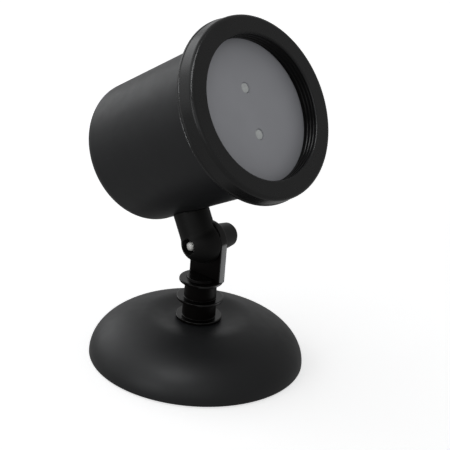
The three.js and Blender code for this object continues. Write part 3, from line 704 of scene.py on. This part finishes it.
def neck_and_hub():
    """The neck and the domed hub, joined, with a soft hollow where they meet."""
    start, reach = NECK_END
    top = 26
    neck = [*ellipse((0, start), (NECK_RADIUS, reach), -90, 0, 24), (NECK_RADIUS, top), (0, top)]
    neck[0] = (0, start - reach)
    flat = LAP_FACE + 0.6
    hub = [(0, flat), (HUB_RADIUS, flat), *ellipse((0, HUB_DOME), (HUB_RADIUS, HUB_REACH), 0, -90, 32)]
    hub[-1] = (0, HUB_DOME - HUB_REACH)
    knuckle = turned("knuckle", neck, NECK, 128)
    combine(knuckle, [turned("helper", hub, KNOB_PLACE, 128)], "UNION")
    even_out(knuckle, size=0.4, rounds=30)
    return knuckle


def saddle():
    """A cutter a hair larger than the housing, on which the neck sits."""
    length = 22
    middle = (PIVOT - OPTICAL.translation).dot(BEAM) / MM
    ends = (middle - length, middle + length)
    radii = [housing_radius(height) + SADDLE_GAP for height in ends]
    section = [(0, ends[0]), (radii[0], ends[0]), (radii[1], ends[1]), (0, ends[1])]
    return turned("helper", section, OPTICAL, 256)


def lap():
    """A cutter for the flat that lies against the ear, with room for the ear's round top."""
    far = CUT_REACH
    meet = math.acos(LAP_TOP / LAP_RADIUS)
    arc = [meet * (k / 24 - 1) for k in range(49)]
    outline = [(LAP_RADIUS * math.cos(angle), LAP_RADIUS * math.sin(angle)) for angle in arc]
    outline += [(LAP_TOP, far), (-far, far), (-far, -far), (LAP_TOP, -far)]
    return extruded(outline, LAP_FACE, far, KNOB_PLACE)


def make_knuckle():
    """Neck and hub, cut for the housing, the ear, the friction washer, the stud and the nut's pocket."""
    knuckle = neck_and_hub()
    _, _, seat = span("friction_washer", KNOB_PLACE)
    pocket_corner = (NUT_ACROSS_FLATS / 2 + 0.3) / math.cos(math.pi / 6)
    pocket = rod(pocket_corner, -CUT_REACH, NUT_SPAN[1] + 0.3)
    combine(knuckle, [
        saddle(),
        lap(),
        helper_rod(seat + 0.35, FRICTION_SEAT, CUT_REACH + 2, KNOB_PLACE),
        helper_rod(STUD_HOLE_RADIUS, -CUT_REACH, CUT_REACH + 1, KNOB_PLACE),
        turned("helper", pocket, NUT_PLACE, 6),
    ], "DIFFERENCE")
    even_out(knuckle, size=0.32, rounds=5)
    smooth(knuckle, 80)
    finish_piece(knuckle, KNUCKLE_BLACK, "head", "satin_black", "neck_knuckle")


def threaded_rod(name, radius, low, high, place):
    """A rod with one helical thread and coned ends."""
    segments, per_turn = 48, 8
    cone = 0.7
    rows = int((high - low) / THREAD_PITCH * per_turn)
    shape = bmesh.new()
    rings = []
    for row in range(rows + 1):
        height = low + (high - low) * row / rows
        room = radius - cone + min(height - low, high - height)
        around = []
        for i in range(segments):
            phase = (height / THREAD_PITCH - i / segments) % 1
            depth = THREAD_DEPTH * abs(2 * phase - 1)
            size = min(radius - depth, room)
            angle = 2 * math.pi * i / segments
            point = Vector((size * math.cos(angle), size * math.sin(angle), height))
            around.append(shape.verts.new(place @ point))
        rings.append(around)
    for lower, upper in zip(rings, rings[1:]):
        for i in range(segments):
            j = (i + 1) % segments
            shape.faces.new((lower[i], lower[j], upper[j], upper[i]))
    shape.faces.new(rings[0])
    shape.faces.new(rings[-1])
    bmesh.ops.recalc_face_normals(shape, faces=shape.faces)
    return to_object(name, shape, 50)


def make_stud():
    stud = threaded_rod("clamp_stud", STUD_RADIUS, STUD_LOW, STUD_HIGH, KNOB_PLACE)
    finish_piece(stud, STUD_STEEL, "thumb_screw", "steel", "thumb_stud")


def make_knob():
    """A tapered knob with a softly rounded end, hollow where the stud enters it."""
    section = rounded([
        (0, KNOB_HIGH, 0),
        (KNOB_END_RADIUS - 1.3, KNOB_HIGH, 2.0),
        (KNOB_END_RADIUS + 0.2, KNOB_HIGH - 1.9, 2.0),
        (KNOB_RADIUS, KNOB_LOW + 0.9, 0.6),
        (KNOB_RADIUS - 0.5, KNOB_LOW, 0.4),
        (STUD_HOLE_RADIUS, KNOB_LOW, 0.2),
        (STUD_HOLE_RADIUS, STUD_HIGH + 0.3, 0),
        (0, STUD_HIGH + 0.3, 0),
    ])
    knob = turned("clamp_knob", section, KNOB_PLACE, 128)
    finish_piece(knob, KNOB_BLACK, "thumb_screw", "knob_black", "thumb_knob")


def make_washers():
    """The steel washer under the knob and the fibre one between hub and ear."""
    low, high, radius = span("knob_washer", KNOB_PLACE)
    steel = turned("steel_washer", ring(STUD_HOLE_RADIUS, radius, low, high, 0.2), KNOB_PLACE, 96)
    finish_piece(steel, STEEL, "clamp_washer", "steel", "knob_washer")

    low, high, radius = span("friction_washer", KNOB_PLACE)
    pressed = turned("friction_disc", ring(STUD_HOLE_RADIUS, radius, low, high, 0.15), KNOB_PLACE, 96)
    finish_piece(pressed, FIBRE_BROWN, "head", "fibre_brown", "friction_washer")


def make_nut():
    """A hexagonal nut whose corners are turned down at both faces."""
    low, high = NUT_SPAN
    flat = NUT_ACROSS_FLATS / 2
    corner = flat / math.cos(math.pi / 6)
    nut = turned("clamp_nut", rod(corner, low, high), NUT_PLACE, 6)
    face, edge, chamfer = flat * 0.97, corner + 0.02, 0.45
    crown = [(0, low), (face, low), (edge, low + chamfer), (edge, high - chamfer), (face, high), (0, high)]
    combine(nut, [turned("helper", crown, KNOB_PLACE, 96)], "INTERSECT")
    combine(nut, [helper_rod(STUD_HOLE_RADIUS, low - 1, high + 1, KNOB_PLACE)], "DIFFERENCE")
    smooth(nut, 25)
    finish_piece(nut, STEEL, "head", "steel", "captive_nut")


# ---------------------------------------------------------------- head
def make_housing():
    """The tapered shell, with a collar for the bezel, a sunken rear face and a hole for the inlet."""
    rear = HOUSING_BACK + HOUSING_CORNER
    inner_corner = HOUSING_CORNER - HOUSING_WALL
    corner_middle = (HOUSING_REAR_RADIUS - HOUSING_CORNER, rear)
    pocket = WINDOW_RADIUS + 0.4
    dish_inner, dish_outer = REAR_DISH
    dish_edge = [(0, 0), (0.3, 0.1), (0.6, 0.4), (0.9, 0.5)]  # how far into the dish, and how deep
    section = [
        *rounded([
            (pocket, LEDGE, 0),
            (pocket, HOUSING_FRONT, 0.2),
            (COLLAR_RADIUS, HOUSING_FRONT, 0.5),
            (COLLAR_RADIUS, COLLAR_BACK, 0.8),
            (HOUSING_FRONT_RADIUS + 0.1, BODY_FRONT, 1.2),
            (HOUSING_REAR_RADIUS, rear, 0),
        ])[:-1],
        *ellipse(corner_middle, (HOUSING_CORNER, HOUSING_CORNER), 0, -90, 20)[1:],
        *[(dish_outer - inward, HOUSING_BACK + depth) for inward, depth in dish_edge],
        *[(dish_inner + inward, HOUSING_BACK + depth) for inward, depth in reversed(dish_edge)],
        (INLET_HOLE_RADIUS + 0.2, HOUSING_BACK),
        (INLET_HOLE_RADIUS, HOUSING_BACK + 0.2),
        (INLET_HOLE_RADIUS, HOUSING_BACK + HOUSING_WALL),
        *ellipse(corner_middle, (inner_corner, inner_corner), -90, 0, 12),
        (HOUSING_FRONT_RADIUS - HOUSING_WALL, LEDGE),
        (pocket, LEDGE),
    ]
    housing = turned("housing_body", section, OPTICAL, 288)
    finish_piece(housing, HOUSING_BLACK, "head", "satin_black", "housing_shell")


def make_bezel():
    """The flared ring: a channel behind it takes the housing's collar, and a skirt forms the recess.

    The recess's wall gets a darker copy of the ring's black, as painted shade."""
    channel = COLLAR_RADIUS + 0.5
    channel_top = HOUSING_FRONT + 0.8
    skirt = OPENING_RADIUS + 2
    skirt_back = WINDOW_FRONT + 0.3
    ring_top = OPENING_RADIUS - 0.4
    rings = []
    for height in RECESS_RINGS:
        rings += [
            (OPENING_RADIUS, height + 0.55, 0.2),
            (ring_top, height + 0.2, 0.25),
            (ring_top, height - 0.2, 0.25),
            (OPENING_RADIUS, height - 0.55, 0.2),
        ]
    corners = [
        (OPENING_RADIUS, 0, 0.9),
        (BEZEL_FRONT_RADIUS, 0, 2.2),
        (BEZEL_RADIUS - 0.35, BEZEL_BACK + 1.9, 0.3),
        (BEZEL_RADIUS, BEZEL_BACK + 1.5, 0.3),
        (BEZEL_RADIUS, BEZEL_BACK, 0.9),
        (channel, BEZEL_BACK, 0.3),
        (channel, channel_top, 0.2),
        (skirt, channel_top, 0.2),
        (skirt, skirt_back, 0.2),
        (OPENING_RADIUS, skirt_back, 0.2),
        *reversed(rings),
    ]
    bezel = turned("bezel", rounded(corners, 5), OPTICAL, 288)
    finish_piece(bezel, BEZEL_BLACK, "head", "bezel_black", "bezel_ring")
    bezel.data.materials.append(RECESS_PAINTED_SHADE)
    back = OPTICAL.inverted()
    recess_start = -1
    # faces deep in the recess take the painted shade
    for face in bezel.data.polygons:
        at = back @ face.center
        if at.z < recess_start and math.hypot(at.x, at.y) < OPENING_RADIUS + 0.3:
            face.material_index = 1


def aperture(colour):
    """The CAD node of an aperture's lens, a place on its axis, and its span there."""
    node = f"aperture_lens_{colour}"
    at = OPTICAL.inverted() @ centre(node)
    place = OPTICAL @ Matrix.Translation((at.x, at.y, 0))
    return node, place, span(node, place)


def aperture_cutter(colour):
    """A cutter for a lens's hole in the window, wider at the front."""
    _, place, (_, _, radius) = aperture(colour)
    hole = radius + 0.15
    mouth = radius + 0.45
    section = [
        (0, WINDOW_BACK - 1),
        (hole, WINDOW_BACK - 1),
        (hole, WINDOW_FRONT - 0.35),
        (mouth, WINDOW_FRONT + 0.02),
        (mouth, WINDOW_FRONT + 1),
        (0, WINDOW_FRONT + 1),
    ]
    return turned("helper", section, place, 64)


def make_window():
    """The flat disc in the recess, with a hole for each beam."""
    window = turned("window_disc", disc(WINDOW_RADIUS, WINDOW_BACK, WINDOW_FRONT, 0.2, 0.2), OPTICAL, 288)
    combine(window, [aperture_cutter(colour) for colour in BEAM_COLOURS], "DIFFERENCE")
    smooth(window)
    finish_piece(window, PANEL_GREY, "head", "panel_grey", "front_window")


def make_lens(colour):
    """A flat lens with a slight crown, in the window's hole."""
    node, place, (low, high, radius) = aperture(colour)
    crown = 0.5
    section = [(0, low), (radius, low), *ellipse((0, high - crown), (radius, crown), 0, 90, 12)]
    section[-1] = (0, high)
    finish_piece(turned(f"lens_{colour}", section, place, 64), LENS_GLASS, "head", "glass", node)


def make_inlet():
    """A round DC inlet with a flange outside and a pin in its hole."""
    low, high, flange = span("dc_inlet", OPTICAL)
    seal_low, _, _ = span("inlet_seal", OPTICAL)
    step = seal_low - 0.3
    hole, pin, pin_root = 3.4, 1.0, low + 9
    socket = rounded([
        (0, high, 0),
        (INLET_RADIUS, high, 0.3),
        (INLET_RADIUS, step, 0),
        (flange, step, 0.2),
        (flange, low, 0.6),
        (hole, low, 0.4),
        (hole, pin_root, 0.1),
        (pin, pin_root, 0.1),
        (pin, low + 1, 0.35),
        (0, low + 1, 0),
    ])
    inlet = turned("inlet_socket", socket, OPTICAL, 96)
    finish_piece(inlet, INLET_BLACK, "head", "gloss_black", "dc_inlet")


def make_gasket():
    low, high, radius = span("inlet_seal", OPTICAL)
    gasket = turned("inlet_gasket", ring(INLET_RADIUS + 0.3, radius, low, high, 0.3), OPTICAL, 96)
    finish_piece(gasket, RUBBER_BLACK, "head", "rubber_black", "inlet_seal")


# ---------------------------------------------------------------- the rest of the CAD nodes
def dress_cad_nodes():
    """Every CAD node that is shown gets the look of its material slot."""
    slots = {part["node"]: part["material_slot"] for part in frame["record"]["subparts"]}
    for name, obj in frame["nodes"].items():
        if not obj.hide_render:
            obj.data.materials.clear()
            obj.data.materials.append(SLOT_LOOKS[slots[name]])


# ---------------------------------------------------------------- stage
def make_floor():
    """A white floor and a round backdrop, which neither light the object nor show in its gloss."""
    half_width = 6000
    shape = bmesh.new()
    bmesh.ops.create_grid(shape, x_segments=1, y_segments=1, size=half_width * MM)
    floor = to_object("floor", shape)
    wall = half_width - 100
    backdrop = turned("backdrop", [(wall, -10), (wall, half_width)], STAND, 96)
    backdrop.visible_shadow = False
    look = Look("floor_white", 0.9, Specular_IOR_Level=0.1, Emission_Strength=0.72)
    paper = look.colours(look.noise(400), (0.86, 0.86, 0.86), (0.88, 0.88, 0.88))
    look.feed("Base Color", paper)
    look.feed("Emission Color", paper)
    for sheet in (floor, backdrop):
        sheet.data.materials.append(look.material)
        sheet.visible_glossy = False
        sheet.visible_diffuse = False


def area_light(name, position, facing, size, power):
    """A rectangular lamp that the camera doesn't see."""
    lamp = bpy.data.lights.new(name, "AREA")
    lamp.color = (0.97, 0.985, 1.0)
    lamp.shape = "RECTANGLE"
    lamp.size, lamp.size_y = size
    lamp.energy = power
    obj = bpy.data.objects.new(name, lamp)
    obj.location = position
    obj.rotation_euler = facing.to_track_quat("-Z", "Y").to_euler()
    obj.visible_camera = False
    bpy.context.scene.collection.objects.link(obj)
    return obj


CAMERA_PLACE = Vector((424.6, -466.7, 328.5)) * MM
CAMERA_AIM = Vector((-0.6150, 0.7002, -0.3626))
CAMERA_ROLL = 4.72
CAMERA_LENS = 96
WORLD_GREY = 0.294


def make_camera():
    data = bpy.data.cameras.new("camera")
    data.lens = CAMERA_LENS
    data.sensor_width = 36
    camera = bpy.data.objects.new("camera", data)
    camera.location = CAMERA_PLACE
    roll = Matrix.Rotation(math.radians(CAMERA_ROLL), 3, "Z")
    camera.rotation_euler = (CAMERA_AIM.to_track_quat("-Z", "Y").to_matrix() @ roll).to_euler()
    bpy.context.scene.collection.objects.link(camera)
    bpy.context.scene.camera = camera


def make_world():
    """An even grey sky."""
    world = bpy.data.worlds.new("studio")
    world.use_nodes = True
    background = world.node_tree.nodes["Background"]
    background.inputs["Color"].default_value = (WORLD_GREY, WORLD_GREY, WORLD_GREY, 1)
    bpy.context.scene.world = world


def make_lights():
    """Soft boxes round the subject, most of them on its left, and cards that light one piece each.

    A lamp's place is given in metres from the subject: to the photograph's right, away from the
    viewer, and up. A card's facing is a direction in the row frame."""
    subject = Vector((0.01, 0, 0.11))
    right = CAMERA_AIM.cross(UP).normalized()
    back = UP.cross(right)
    boxes = (
        ("left_back", (-1.3, 1.2, 0.6), (1.2, 1.0), 4.9),
        ("left_front", (-1.3, -1.3, 0.5), (1.0, 1.0), 5.2),
        ("left_top", (-1.3, 0, 1.3), (1.4, 1.2), 3.2),
        ("front", (0, -1.8, 0.8), (1.0, 1.0), 1.7),
        ("left", (-1.8, 0.2, 0.35), (1.0, 1.0), 1.4),
        ("back", (0, 1.9, 0.45), (1.6, 1.0), 1.3),
        ("left_top_back", (-0.9, 0.9, 1.3), (1.2, 1.0), 0.8),
    )
    for name, (aside, behind, above), size, power in boxes:
        offset = right * aside + back * behind + UP * above
        area_light(name, subject + offset, -offset, size, power)
    cards = (
        ("ear_card", (0.16, 0.022, -0.108), UP, (0.13, 0.13), 0.13, "stem_and_ear"),
        ("lip_card", (-0.24, 0.17, -0.108), UP, (0.2, 0.2), 0.6, "bezel"),
        ("rim_card", (-0.1, -0.55, 1.35), Vector((0.1, 0.55, -1.35)), (0.25, 1.3), 9, "bezel"),
        ("dome_card", (-0.5, -0.85, 1.45), Vector((0.5, 0.85, -1.45)), (0.7, 0.7), 7, "base_dome"),
    )
    for name, (aside, behind, above), facing, size, power, piece in cards:
        offset = right * aside + back * behind + UP * above
        card = area_light(name, subject + offset, facing, size, power)
        receivers = bpy.data.collections.new(f"{name}_lights")
        receivers.objects.link(bpy.data.objects[piece])
        card.light_linking.receiver_collection = receivers


# ---------------------------------------------------------------- all together
make_camera()
make_dome()
make_plate()
make_pad()
make_stem()
make_knuckle()
make_stud()
make_knob()
make_washers()
make_nut()
make_housing()
make_bezel()
make_window()
for colour in BEAM_COLOURS:
    make_lens(colour)
make_inlet()
make_gasket()
dress_cad_nodes()
make_floor()
make_world()
make_lights()
bpy.context.scene.view_settings.view_transform = "Standard"
